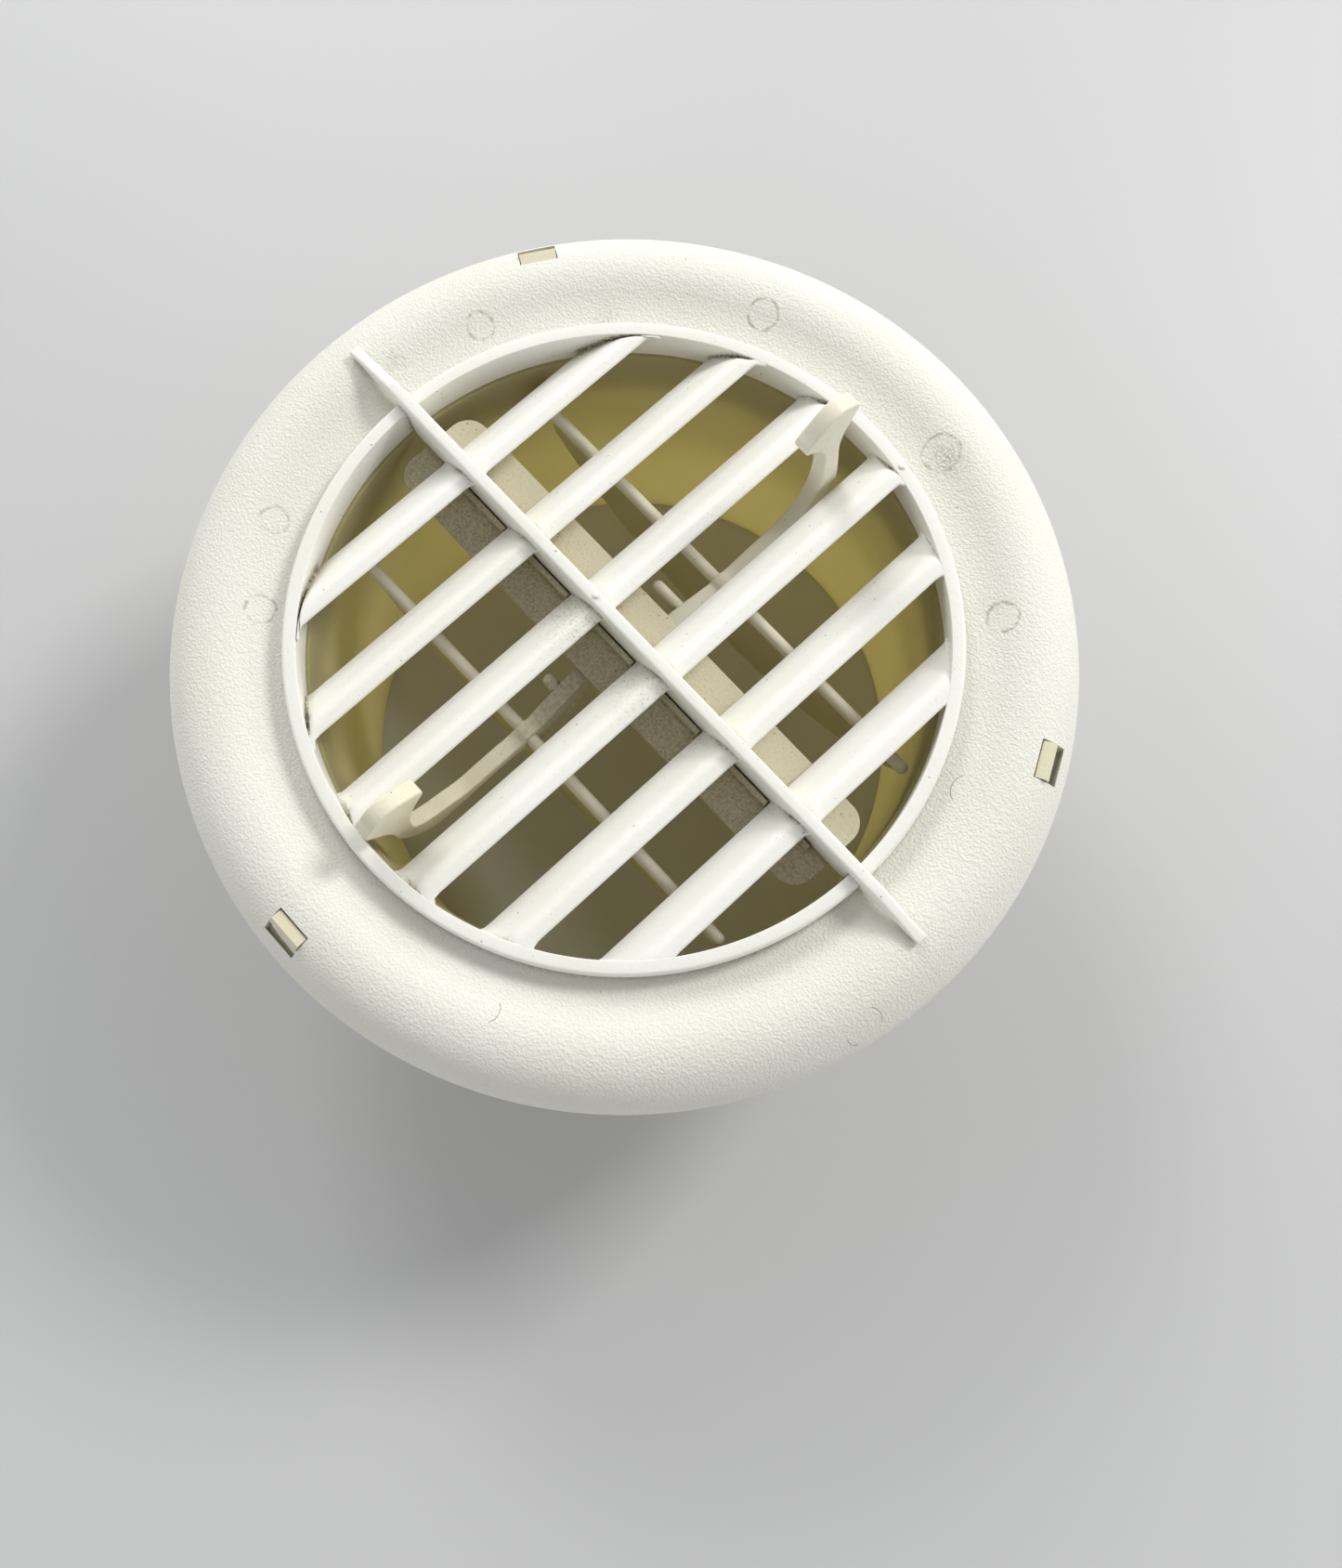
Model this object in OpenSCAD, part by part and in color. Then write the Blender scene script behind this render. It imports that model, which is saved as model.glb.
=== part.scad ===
// Round ceiling vent cover with a turning louvred grille and two lever-worked dampers.
// The origin is the centre of the collar's rear end. +Z points out of the face, and the
// finger fin lies along X.

/* [Trim ring] */
// Outer diameter of the trim ring
trim_od = 175; // [172:1:184]
// Height of the grille face above the ceiling
face_height = 20; // [19:0.5:24]
// Radius of the rounded outer shoulder
shoulder_r = 11; // [10:0.5:12]
// Wall thickness of the trim ring
trim_wall = 2; // [1.6:0.1:2.4]

/* [Duct collar] */
// Length of collar behind the ceiling
collar_depth = 58; // [50:1:90]
// Inner diameter of the collar
collar_id = 120.6; // [120:0.1:121]
// Wall thickness of the collar
collar_wall = 2.3; // [1.8:0.1:2.6]

/* [Grille] */
// Outer diameter of the grille's face ring
ring_od = 127; // [126.4:0.1:127.6]
// Width of the face ring
ring_w = 2.7; // [2.4:0.1:3]
// Spacing of the louvres
louvre_pitch = 18.35; // [18:0.05:18.6]
// Depth of each louvre
louvre_depth = 7.5; // [6:0.5:7.5]
// Width of each louvre's front flat
louvre_flat = 3.5; // [3:0.1:4]
// Whole width that a louvre covers, seen from the front
louvre_cover = 9.2; // [8.6:0.1:9.4]
// Height of the finger fin above the face
fin_rise = 2.5; // [1.5:0.1:3]
// Thickness of the finger fin
fin_t = 2.5; // [2:0.1:3]

/* [Dampers] */
// Distance of each damper hinge from the middle of the grille
hinge_y = 24.6; // [23:0.1:26]
// Depth of the damper hinges behind the face
hinge_drop = 17.7; // [17:0.1:19]
// Radius of the hinge rods
rod_r = 1.3; // [1.2:0.05:1.5]
// Running clearance of the rods in their hangers
rod_gap = 0.06; // [0.03:0.01:0.1]
// Thickness of the damper plates
plate_t = 1.6; // [1.2:0.1:2]
// Thickness of the levers
lever_t = 3.3; // [2.6:0.1:3.3]
// Angle from hanging straight, at rest, of the +Y damper
rest_turn_a = 4; // [-2:1:80]
// Angle from hanging straight, at rest, of the -Y damper
rest_turn_b = -2; // [-2:1:80]

/* [Fixing] */
// Number of screw holes in the ceiling flange
screw_count = 4; // [4:2:6]
// Circle diameter of the screw holes
screw_pcd = 146; // [144:1:148]
// Diameter of the screw holes
screw_d = 4.5; // [4:0.1:5]

/* [Hidden] */
$fn = 96;

// colours of the mouldings
cream = [0.92, 0.89, 0.80];
white = [0.95, 0.95, 0.91];
tan_cream = [0.86, 0.82, 0.68];

// heights
face_z = collar_depth + face_height;
hinge_z = face_z - hinge_drop;

// trim ring section
trim_r = trim_od / 2;
crest_r = trim_r - shoulder_r;
crest_drop = 1.2;
shoulder_z = face_z - crest_drop - shoulder_r;
dish_start = 25;
lip_flat_r = 64;
dish_r = (crest_r - lip_flat_r) / sin(dish_start) - shoulder_r;
dish_z = shoulder_z + (shoulder_r + dish_r) * cos(dish_start);
lip_r = 62.5;
lip_z = dish_z - dish_r;

// release slots and their snap hooks, a third of a turn apart
slot_angles = [30, 150, 270];
slot_w = 7.6;
slot_in_r = trim_r - 8;
slot_out_r = trim_r - 3.2;
catch_ledge = 1.2;
catch_gap = 0.3;
catch_t = 1.3;
catch_z = shoulder_z + shoulder_r - 2;

// collar and flange
collar_r = collar_id / 2;
collar_out_r = collar_r + collar_wall;
neck_r = collar_out_r + 0.8;
seat_z = face_z - 7.8;
seat_r = 63.8;
rim_out_r = 65.6;
rim_top_z = lip_z - trim_wall - 0.2;
flange_t = 2.4;
flange_r = slot_out_r - 1.6;
flange_wall_t = 1.6;
flange_wall_h = 5.6;
gusset_count = 12;

// grille ring
ring_r = ring_od / 2;
ring_in_r = ring_r - ring_w;
ring_face_t = 3.4;
skirt_r = 62;
bead_r = 63.4;
bead_t = 0.8;
skirt_z = seat_z + 0.4;
edge_r = 0.7;

// louvres
louvre_count = 6;
louvre_edge = 0.35;
fin_reach = 78;
fin_web_drop = 6.8;

// bar under the louvres
bar_w = 19.6;
bar_l = 113;
bar_t = 1.8;
bar_corner_r = 4.5;
bar_top_z = face_z - louvre_depth;
rib_w = 0.9;
rib_gap = 0.35;
rib_rise = 1.8;
rib_start = 1.3;
rib_stop = 5;
stake_r = 1.2;
stake_head_r = 2.2;
stake_louvres = [1, 4];
stake_y = 6.2;

// hangers and dampers
hanger_w = 5.2;
hanger_below = 2.9;
hanger_snap_w = 1.9;
rod_reach = 53.7;
damper_r = 58.4;
notch_depth = 4.2;
lever_gap = 0.4;
peg_r = 1.3;
peg_tip_x = -7.4;
peg_out = 14.5;
hub_r = 2.6;
web_drop = 8;
// how far out and up each lever's pad is moved
pad_shift_a = [-1.2, 6.5];
pad_shift_b = [1.6, -6];
peg_drop = 14.2;

// ---- helpers ----

// flat sector of an annulus, from angle a0 to a1, centred on c
module arc_band(c, r_in, r_out, a0, a1) {
    steps = 12;
    reach = r_out * 1.2;
    translate(c)
        intersection() {
            difference() {
                circle(r = r_out);
                circle(r = r_in);
            }
            polygon(concat([[0, 0]],
                [for (i = [0:steps]) let (a = a0 + (a1 - a0) * i / steps) reach * [cos(a), sin(a)]]));
        }
}

// points along an arc, in order
function arc(c, r, a0, a1, steps = 8) =
    [for (i = [0:steps]) let (a = a0 + (a1 - a0) * i / steps) c + r * [cos(a), sin(a)]];

// point on a cubic curve at t
function cubic(p, t) =
    pow(1 - t, 3) * p[0] + 3 * pow(1 - t, 2) * t * p[1] + 3 * (1 - t) * t * t * p[2] + pow(t, 3) * p[3];

// points along a cubic curve, leaving out the last one
function curve(p, steps = 8) = [for (i = [0:steps - 1]) cubic(p, i / steps)];

// ---- base ----

module duct_collar() {
    color(cream)
        rotate_extrude()
            polygon([
                [collar_r, 0], [collar_out_r - 0.5, 0], [collar_out_r, 0.5],
                [collar_out_r, collar_depth], [neck_r, collar_depth], [neck_r, seat_z - 3.2],
                [rim_out_r, seat_z - 1.4], [rim_out_r, rim_top_z],
                [seat_r, rim_top_z], [seat_r, seat_z], [collar_r, seat_z]
            ]);
}

module ceiling_flange() {
    color(cream)
        difference() {
            union() {
                rotate_extrude()
                    polygon([
                        [neck_r, collar_depth], [flange_r, collar_depth],
                        [flange_r, collar_depth + flange_wall_h],
                        [flange_r - flange_wall_t, collar_depth + flange_wall_h],
                        [flange_r - flange_wall_t, collar_depth + flange_t],
                        [neck_r, collar_depth + flange_t]
                    ]);
                for (i = [0:gusset_count - 1])
                    rotate([0, 0, i * 360 / gusset_count])
                        flange_gusset();
                for (a = slot_angles)
                    rotate([0, 0, a])
                        snap_post();
            }
            for (i = [0:screw_count - 1])
                rotate([0, 0, (i + 0.5) * 360 / screw_count])
                    translate([screw_pcd / 2, 0, collar_depth - 1])
                        cylinder(h = flange_t + 2, d = screw_d);
        }
}

// upright triangular rib between the collar and the flange
module flange_gusset() {
    rib_t = 1.4;
    rib_h = 6;
    rib_l = 6;
    root = 0.1;
    translate([neck_r, rib_t / 2, collar_depth + flange_t - 0.01])
        rotate([90, 0, 0])
            linear_extrude(height = rib_t)
                polygon([[root, 0], [rib_l, 0], [root, rib_h]]);
}

// sprung post on the flange's rim, with a barb over the ledge in the trim ring's slot
module snap_post() {
    post_w = slot_w - 0.4;
    leg_in = flange_r - flange_wall_t;
    translate([0, post_w / 2, 0])
        rotate([90, 0, 0])
            linear_extrude(height = post_w)
                polygon([
                    [leg_in, collar_depth + flange_t], [flange_r, collar_depth + flange_t],
                    [flange_r, catch_z + 0.2], [flange_r - 0.8, catch_z + catch_t],
                    [slot_in_r + catch_gap, catch_z + catch_t - 0.2], [slot_in_r + catch_gap, catch_z],
                    [leg_in, catch_z]
                ]);
}

module trim_ring() {
    color(cream)
        difference() {
            rotate_extrude()
                trim_section();
            for (a = slot_angles)
                rotate([0, 0, a])
                    release_slot();
        }
}

// slot through the shoulder, with a ledge along its inner edge
module release_slot() {
    translate([slot_in_r, -slot_w / 2, catch_z - catch_gap])
        cube([slot_out_r - slot_in_r, slot_w, shoulder_r]);
    translate([slot_in_r + catch_ledge, -slot_w / 2, shoulder_z])
        cube([slot_out_r - slot_in_r - catch_ledge, slot_w, shoulder_r]);
}

// section of the trim ring: shoulder, dished inner slope, inner lip and outer flank
module trim_section() {
    lap = 0.5;
    arc_band([crest_r, shoulder_z], shoulder_r - trim_wall, shoulder_r, -lap, 90 + dish_start + lap);
    arc_band([lip_flat_r, dish_z], dish_r, dish_r + trim_wall, -90 - lap, -90 + dish_start + lap);
    translate([lip_r, lip_z - trim_wall])
        square([lip_flat_r - lip_r, trim_wall]);
    translate([trim_r - trim_wall, collar_depth])
        square([trim_wall, shoulder_z - collar_depth]);
}

// ---- grille ----

module grille_ring() {
    color(white)
        rotate_extrude()
            polygon(concat(
                [[ring_in_r, skirt_z], [bead_r, skirt_z], [bead_r, skirt_z + bead_t],
                    [skirt_r, skirt_z + bead_t], [skirt_r, face_z - ring_face_t],
                    [ring_r, face_z - ring_face_t]],
                arc([ring_r - edge_r, face_z - edge_r], edge_r, 0, 90, 5),
                [[ring_in_r, face_z]]
            ));
}

// X of a louvre's middle, i from 0
function louvre_x(i) = (i - (louvre_count - 1) / 2) * louvre_pitch;

// solid of one louvre, leaning towards -X as it goes back
module louvre(i) {
    half = louvre_cover / 2;
    lean = louvre_cover - louvre_flat;
    intersection() {
        translate([louvre_x(i), ring_r, 0])
            rotate([90, 0, 0])
                linear_extrude(height = 2 * ring_r)
                    polygon([
                        [half, face_z - louvre_edge], [half - louvre_edge, face_z],
                        [half - louvre_flat + louvre_edge, face_z],
                        [half - louvre_flat - 0.1, face_z - louvre_edge],
                        [-half, face_z - louvre_depth], [half - lean, face_z - louvre_depth]
                    ]);
        translate([0, 0, face_z - louvre_depth - 1])
            cylinder(h = louvre_depth + 2, r = ring_in_r);
    }
}

module louvre_node(i) {
    color(white)
        louvre(i);
}

module finger_fin() {
    tip_t = 2.2;
    taper_x = 58;
    color(white)
        difference() {
            intersection() {
                translate([0, 0, face_z - fin_web_drop])
                    linear_extrude(height = fin_web_drop + fin_rise)
                        polygon([
                            [-fin_reach, -tip_t / 2], [-taper_x, -fin_t / 2], [taper_x, -fin_t / 2],
                            [fin_reach, -tip_t / 2], [fin_reach, tip_t / 2], [taper_x, fin_t / 2],
                            [-taper_x, fin_t / 2], [-fin_reach, tip_t / 2]
                        ]);
                translate([0, fin_t, face_z])
                    rotate([90, 0, 0])
                        linear_extrude(height = 2 * fin_t)
                            polygon(concat(fin_side(1), [for (i = [5:-1:0]) fin_side(-1)[i]]));
            }
            grille_ring();
            for (i = [0:louvre_count - 1])
                louvre(i);
        }
}

// half outline of the fin seen from the side: s is 1 for the +X end, -1 for the other
function fin_side(s) = [
    [s * 0.1, -fin_web_drop], [s * (ring_in_r + 0.5), -fin_web_drop], [s * (ring_in_r + 0.5), -3],
    [s * (crest_r - 0.3), -0.6], [s * fin_reach, -0.4], [s * (ring_r + 3), fin_rise]
];

module damper_bar() {
    inset = bar_corner_r;
    color(tan_cream)
        difference() {
            union() {
                translate([-bar_l / 2 + inset, -bar_w / 2, bar_top_z - bar_t])
                    cube([bar_l - 2 * inset, bar_w, bar_t]);
                translate([-bar_l / 2, -bar_w / 2 + inset, bar_top_z - bar_t])
                    cube([bar_l, bar_w - 2 * inset, bar_t]);
                for (x = [-1, 1], y = [-1, 1])
                    translate([x * (bar_l / 2 - inset), y * (bar_w / 2 - inset), bar_top_z - bar_t])
                        cylinder(h = bar_t, r = bar_corner_r);
                for (i = [0:louvre_count - 1], y = [-1, 1])
                    bar_rib(louvre_x(i) + rib_start, min(louvre_x(i + 1) - rib_stop, bar_l / 2 - inset), y);
            }
            for (i = stake_louvres, y = [-1, 1])
                translate([stake_x(i), y * stake_y, bar_top_z - bar_t - 1])
                    cylinder(h = bar_t + 2, r = stake_r + 0.1);
        }
}

// low rib from x0 to x1 on the bar that grips one side of the fin's web
module bar_rib(x0, x1, side) {
    middle_y = side * (fin_t / 2 + rib_gap + rib_w / 2);
    translate([x0, middle_y - rib_w / 2, bar_top_z - 0.2])
        cube([x1 - x0, rib_w, rib_rise + 0.2]);
}

// X of the middle of a louvre's rear flat
function rear_flat_x(i) = louvre_x(i) - (louvre_cover - louvre_flat) / 2;

function stake_x(i) = rear_flat_x(i);

module bar_stakes() {
    color(white)
        for (i = stake_louvres, y = [-1, 1])
            translate([stake_x(i), y * stake_y, bar_top_z]) {
                translate([0, 0, -bar_t - 0.4])
                    cylinder(h = bar_t + 0.4, r = stake_r);
                translate([0, 0, -bar_t - 1.2])
                    cylinder(h = 1.2, r1 = stake_r, r2 = stake_head_r);
            }
}

// hanger under louvre i that carries a hinge rod; lean moves its lower half along X
module hinge_hanger(i, y, lean) {
    x = rear_flat_x(i);
    half = louvre_flat / 2 - 0.1;
    waist_z = face_z - 13.5;
    color(white)
        difference() {
            translate([0, y + hanger_w / 2, 0])
                rotate([90, 0, 0])
                    linear_extrude(height = hanger_w)
                        polygon([
                            [x - half, bar_top_z], [x + half, bar_top_z], [x + half + lean, waist_z],
                            [x + half + lean, hinge_z - hanger_below],
                            [x - half + lean, hinge_z - hanger_below], [x - half + lean, waist_z]
                        ]);
            translate([x + lean - hanger_w, y, hinge_z])
                rotate([0, 90, 0])
                    cylinder(h = 2 * hanger_w, r = rod_r + rod_gap);
            translate([x + lean - hanger_w, y - hanger_snap_w / 2, hinge_z - hanger_below - 1])
                cube([2 * hanger_w, hanger_snap_w, hanger_below + 1]);
        }
}

hanger_lean = -2.9;
hanger_low_x = rear_flat_x(0) + hanger_lean;
hanger_high_x = rear_flat_x(louvre_count - 1);

// ---- dampers: side is 1 for +Y, -1 for -Y ----

// stands a damper's piece turned about its hinge, as it rests
module resting(side) {
    translate([0, side * hinge_y, hinge_z])
        rotate([side * (side > 0 ? rest_turn_a : rest_turn_b), 0, 0])
            translate([0, -side * hinge_y, -hinge_z])
                children();
}

module damper_rod(side) {
    color(tan_cream)
        translate([0, side * hinge_y, hinge_z])
            rotate([0, 90, 0])
                union() {
                    cylinder(h = 2 * (rod_reach - rod_r), r = rod_r, center = true);
                    for (s = [-1, 1])
                        translate([0, 0, s * (rod_reach - rod_r)])
                            sphere(r = rod_r);
                }
}

// a segment of the duct's circle that hangs from the rod, open at the hangers
module damper_plate(side) {
    clear_x = louvre_flat / 2 + 0.5;
    color(tan_cream)
        translate([0, side * hinge_y, hinge_z])
            difference() {
                translate([0, plate_t / 2, 0])
                    rotate([90, 0, 0])
                        linear_extrude(height = plate_t)
                            intersection() {
                                translate([0, hinge_y])
                                    circle(r = damper_r);
                                translate([hanger_low_x + clear_x, -damper_r])
                                    square([2 * damper_r, damper_r - rod_r * 0.7]);
                            }
                translate([hanger_high_x - clear_x, -plate_t, -notch_depth])
                    cube([2 * clear_x, 2 * plate_t, notch_depth + 1]);
                rotate([0, 90, 0])
                    cylinder(h = 2 * damper_r, r = rod_r, center = true);
            }
}

// first X of a lever's slot of room between the two middle louvres
function lever_x(side) = side > 0 ? lever_gap - 0.7 : -lever_gap - lever_t - 0.3;

// a point of a lever's outline, moved along with its pad
function with_pad(p, shift) =
    p[0] > 42 && p[1] > 4 ? p + min((p[1] - 4) / 12, 1) * shift : p;

// outline of a lever: distance from the fin, height above the hinge
function lever_outline(pad_shift) = [for (p = lever_points()) with_pad(p, pad_shift)];

// the same outline before its pad is moved
function lever_points() = concat(
    arc([9.6, 4.6], 1.5, 120, 240, 6),
    curve([[8.9, 3.2], [10.5, -1.5], [14, -5], [20, -5.6]]),
    curve([[20, -5.6], [24, -5.8], [27, -5], [27.6, -2]]),
    curve([[27.6, -2], [33, -0.9], [38, -1.2], [45, -1.4]]),
    curve([[45, -1.4], [52.5, -1.7], [54.2, 3.5], [54.4, 10.5]]),
    curve([[54.4, 10.5], [54.6, 18], [53.4, 20.5], [55.8, 25.5]]),
    arc([56, 30.2], 1.9, -30, 75, 5),
    curve([[56.3, 32.1], [53.4, 35.6], [49.6, 33.8], [46.6, 31.2]]),
    arc([46.7, 29.4], 1.7, 110, 235, 5),
    curve([[46, 27.8], [50.4, 23.6], [50.8, 19], [50.6, 14]]),
    curve([[50.6, 14], [50.2, 8], [46.6, 3.6], [40, 2.1]]),
    curve([[40, 2.1], [36, 2], [31, 2.2], [27, 1.5]]),
    arc([hinge_y, 0], hub_r, 48, 132, 6),
    curve([[22.2, 2], [18, 3.6], [13, 5.8], [9.4, 6.1]], 7)
);

module damper_lever(side) {
    x0 = lever_x(side);
    color(cream)
        union() {
            difference() {
                translate([x0, 0, hinge_z])
                    rotate([90, 0, 90])
                        linear_extrude(height = lever_t)
                            scale([side, 1])
                                polygon(lever_outline(side > 0 ? pad_shift_a : pad_shift_b));
                translate([0, side * hinge_y, hinge_z])
                    rotate([0, 90, 0])
                        cylinder(h = 20, r = rod_r, center = true);
                translate([x0 - 1, side * hinge_y - plate_t / 2, hinge_z - web_drop])
                    cube([lever_t + 2, plate_t, web_drop]);
            }
            translate([peg_tip_x + peg_r, side * peg_out, face_z - peg_drop])
                rotate([0, 90, 0])
                    union() {
                        cylinder(h = x0 - peg_tip_x - peg_r + 0.4, r = peg_r);
                        sphere(r = peg_r);
                    }
        }
}

duct_collar();
ceiling_flange();
trim_ring();
grille_ring();
louvre_node(0);  // louvre_1
louvre_node(1);  // louvre_2
louvre_node(2);  // louvre_3
louvre_node(3);  // louvre_4
louvre_node(4);  // louvre_5
louvre_node(5);  // louvre_6
finger_fin();
damper_bar();
bar_stakes();
hinge_hanger(0, hinge_y, hanger_lean);  // hinge_hanger_1
hinge_hanger(0, -hinge_y, hanger_lean);  // hinge_hanger_2
hinge_hanger(5, hinge_y, 0);  // hinge_hanger_3
hinge_hanger(5, -hinge_y, 0);  // hinge_hanger_4
resting(1) damper_plate(1);  // damper_plate_a
resting(1) damper_rod(1);  // damper_rod_a
resting(1) damper_lever(1);  // damper_lever_a
resting(-1) damper_plate(-1);  // damper_plate_b
resting(-1) damper_rod(-1);  // damper_rod_b
resting(-1) damper_lever(-1);  // damper_lever_b
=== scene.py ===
"""Looks of a round ceiling vent cover: moulded grille, levers, plastics, stage, lights, camera."""

import math

import bmesh
import bpy
from mathutils import Matrix, Vector


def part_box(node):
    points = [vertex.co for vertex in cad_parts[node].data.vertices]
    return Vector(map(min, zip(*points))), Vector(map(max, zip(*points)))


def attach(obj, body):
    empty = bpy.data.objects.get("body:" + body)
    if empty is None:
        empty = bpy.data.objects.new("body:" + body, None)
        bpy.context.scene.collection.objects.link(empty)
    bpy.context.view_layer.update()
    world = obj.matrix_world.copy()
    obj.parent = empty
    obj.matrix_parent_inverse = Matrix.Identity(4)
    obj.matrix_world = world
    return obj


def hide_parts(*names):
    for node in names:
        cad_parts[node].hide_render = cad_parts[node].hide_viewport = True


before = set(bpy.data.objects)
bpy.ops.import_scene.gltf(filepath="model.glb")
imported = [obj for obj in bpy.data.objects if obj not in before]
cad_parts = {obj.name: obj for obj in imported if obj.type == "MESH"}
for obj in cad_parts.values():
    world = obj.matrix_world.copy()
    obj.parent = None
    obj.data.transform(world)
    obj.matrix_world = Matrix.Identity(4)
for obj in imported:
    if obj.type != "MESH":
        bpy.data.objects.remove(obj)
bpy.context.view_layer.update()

MM = 0.001
TAU = 2 * math.pi

# ---- places read from the frame, in millimetres ----

RING_LOW, RING_HIGH = (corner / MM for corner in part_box("grille_ring"))
FACE_Z = RING_HIGH.z
RING_R = RING_HIGH.x
RING_W = 2.7
RING_IN_R = RING_R - RING_W
SKIRT_Z = RING_LOW.z
LOUVRE_COUNT = 6
BAR_TOP_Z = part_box("damper_bar")[1].z / MM
ROD_LOW, ROD_HIGH = (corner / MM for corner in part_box("damper_rod_a"))
HINGE_Y = (ROD_LOW.y + ROD_HIGH.y) / 2
HINGE_Z = (ROD_LOW.z + ROD_HIGH.z) / 2
# angle from hanging straight at which each damper rests, in degrees
REST_TURN = {"a": 4.0, "b": -2.0}
# how far out and up each lever's pad is moved, in millimetres
PAD_SHIFT = {"a": (-1.2, 6.5), "b": (1.6, -6.0)}


# ---- meshes ----

def piece(name, verts, faces, body, material, replaces=()):
    """Makes a mesh piece from points in millimetres that rides on a CAD body."""
    mesh = bpy.data.meshes.new(name)
    mesh.from_pydata([Vector(v) * MM for v in verts], [], faces)
    work = bmesh.new()
    work.from_mesh(mesh)
    bmesh.ops.recalc_face_normals(work, faces=work.faces)
    work.to_mesh(mesh)
    work.free()
    for face in mesh.polygons:
        face.use_smooth = True
    obj = bpy.data.objects.new(name, mesh)
    bpy.context.scene.collection.objects.link(obj)
    obj.data.materials.append(material)
    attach(obj, body)
    if replaces:
        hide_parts(*replaces)
    return obj


def bevel(obj, width, segments, angle):
    """Rounds the piece's edges that turn by more than the angle, in degrees."""
    step = obj.modifiers.new("round_edges", "BEVEL")
    step.width = width * MM
    step.segments = segments
    step.limit_method = "ANGLE"
    step.angle_limit = math.radians(angle)
    step.harden_normals = False


def soften_cad(node, width):
    """Rounds the edges of a CAD node with modifiers, leaving its mesh as it is."""
    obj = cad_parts[node]
    weld = obj.modifiers.new("weld", "WELD")
    weld.merge_threshold = 1e-6
    bevel(obj, width, segments=2, angle=35)


def arc(centre, radius, start, end, steps):
    """Points along an arc, in degrees, both ends included."""
    out = []
    for i in range(steps + 1):
        a = math.radians(start + (end - start) * i / steps)
        out.append((centre[0] + radius * math.cos(a), centre[1] + radius * math.sin(a)))
    return out


def curve(p, steps=16):
    """Points along a cubic curve, leaving out the last one."""
    out = []
    for i in range(steps):
        t = i / steps
        w = ((1 - t) ** 3, 3 * (1 - t) ** 2 * t, 3 * (1 - t) * t * t, t ** 3)
        out.append(tuple(sum(w[k] * p[k][axis] for k in range(4)) for axis in (0, 1)))
    return out


def loft(rows, closed_path=False):
    """Vertices and faces of a skin over closed rows of points, capped unless its path closes."""
    count = len(rows[0])
    verts = [p for row in rows for p in row]
    faces = []
    spans = len(rows) if closed_path else len(rows) - 1
    for r in range(spans):
        nxt = (r + 1) % len(rows)
        for i in range(count):
            j = (i + 1) % count
            faces.append((r * count + i, r * count + j, nxt * count + j, nxt * count + i))
    if not closed_path:
        faces.append(tuple(range(count)))
        last = (len(rows) - 1) * count
        faces.append(tuple(last + i for i in reversed(range(count))))
    return verts, faces


def lathe(profile, segments):
    """Vertices and faces of a closed section of (radius, height) turned about Z."""
    rows = []
    for s in range(segments):
        a = TAU * s / segments
        rows.append([(r * math.cos(a), r * math.sin(a), z) for r, z in profile])
    return loft(rows, closed_path=True)


# ---- materials ----

AO_SAMPLES = 6


class Nodes:
    """A short way to add shader nodes to a tree."""

    def __init__(self, tree):
        self.tree = tree

    def add(self, kind, inputs=(), **settings):
        node = self.tree.nodes.new(kind)
        for key, value in settings.items():
            setattr(node, key, value)
        for key, value in dict(inputs).items():
            self.set(node.inputs[key], value)
        return node

    def set(self, socket, value):
        if isinstance(value, bpy.types.NodeSocket):
            self.tree.links.new(value, socket)
        else:
            socket.default_value = value

    def math(self, operation, a, b=0.0, clamp=False):
        node = self.add("ShaderNodeMath", {0: a, 1: b}, operation=operation)
        node.use_clamp = clamp
        return node.outputs[0]

    def vector(self, operation, a, b):
        """A vector worked out from two others."""
        node = self.add("ShaderNodeVectorMath", {0: a, 1: b}, operation=operation)
        return node.outputs["Vector"]

    def measure(self, operation, a, b):
        """A number worked out from two vectors, such as their distance."""
        node = self.add("ShaderNodeVectorMath", {0: a, 1: b}, operation=operation)
        return node.outputs["Value"]

    def carry(self, value, start, end, low, high, kind="LINEAR"):
        """The value, carried from the range start to end into low to high and held at its ends."""
        ends = {"From Min": start, "From Max": end, "To Min": low, "To Max": high}
        node = self.add("ShaderNodeMapRange", {"Value": value, **ends}, interpolation_type=kind)
        return node.outputs["Result"]

    def blend(self, amount, low, high):
        """A value between low and high."""
        return self.carry(amount, 0.0, 1.0, low, high)

    def ramp(self, value, low, high):
        """0 below low, 1 above high, smooth between."""
        return self.carry(value, low, high, 0.0, 1.0, "SMOOTHSTEP")


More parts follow.
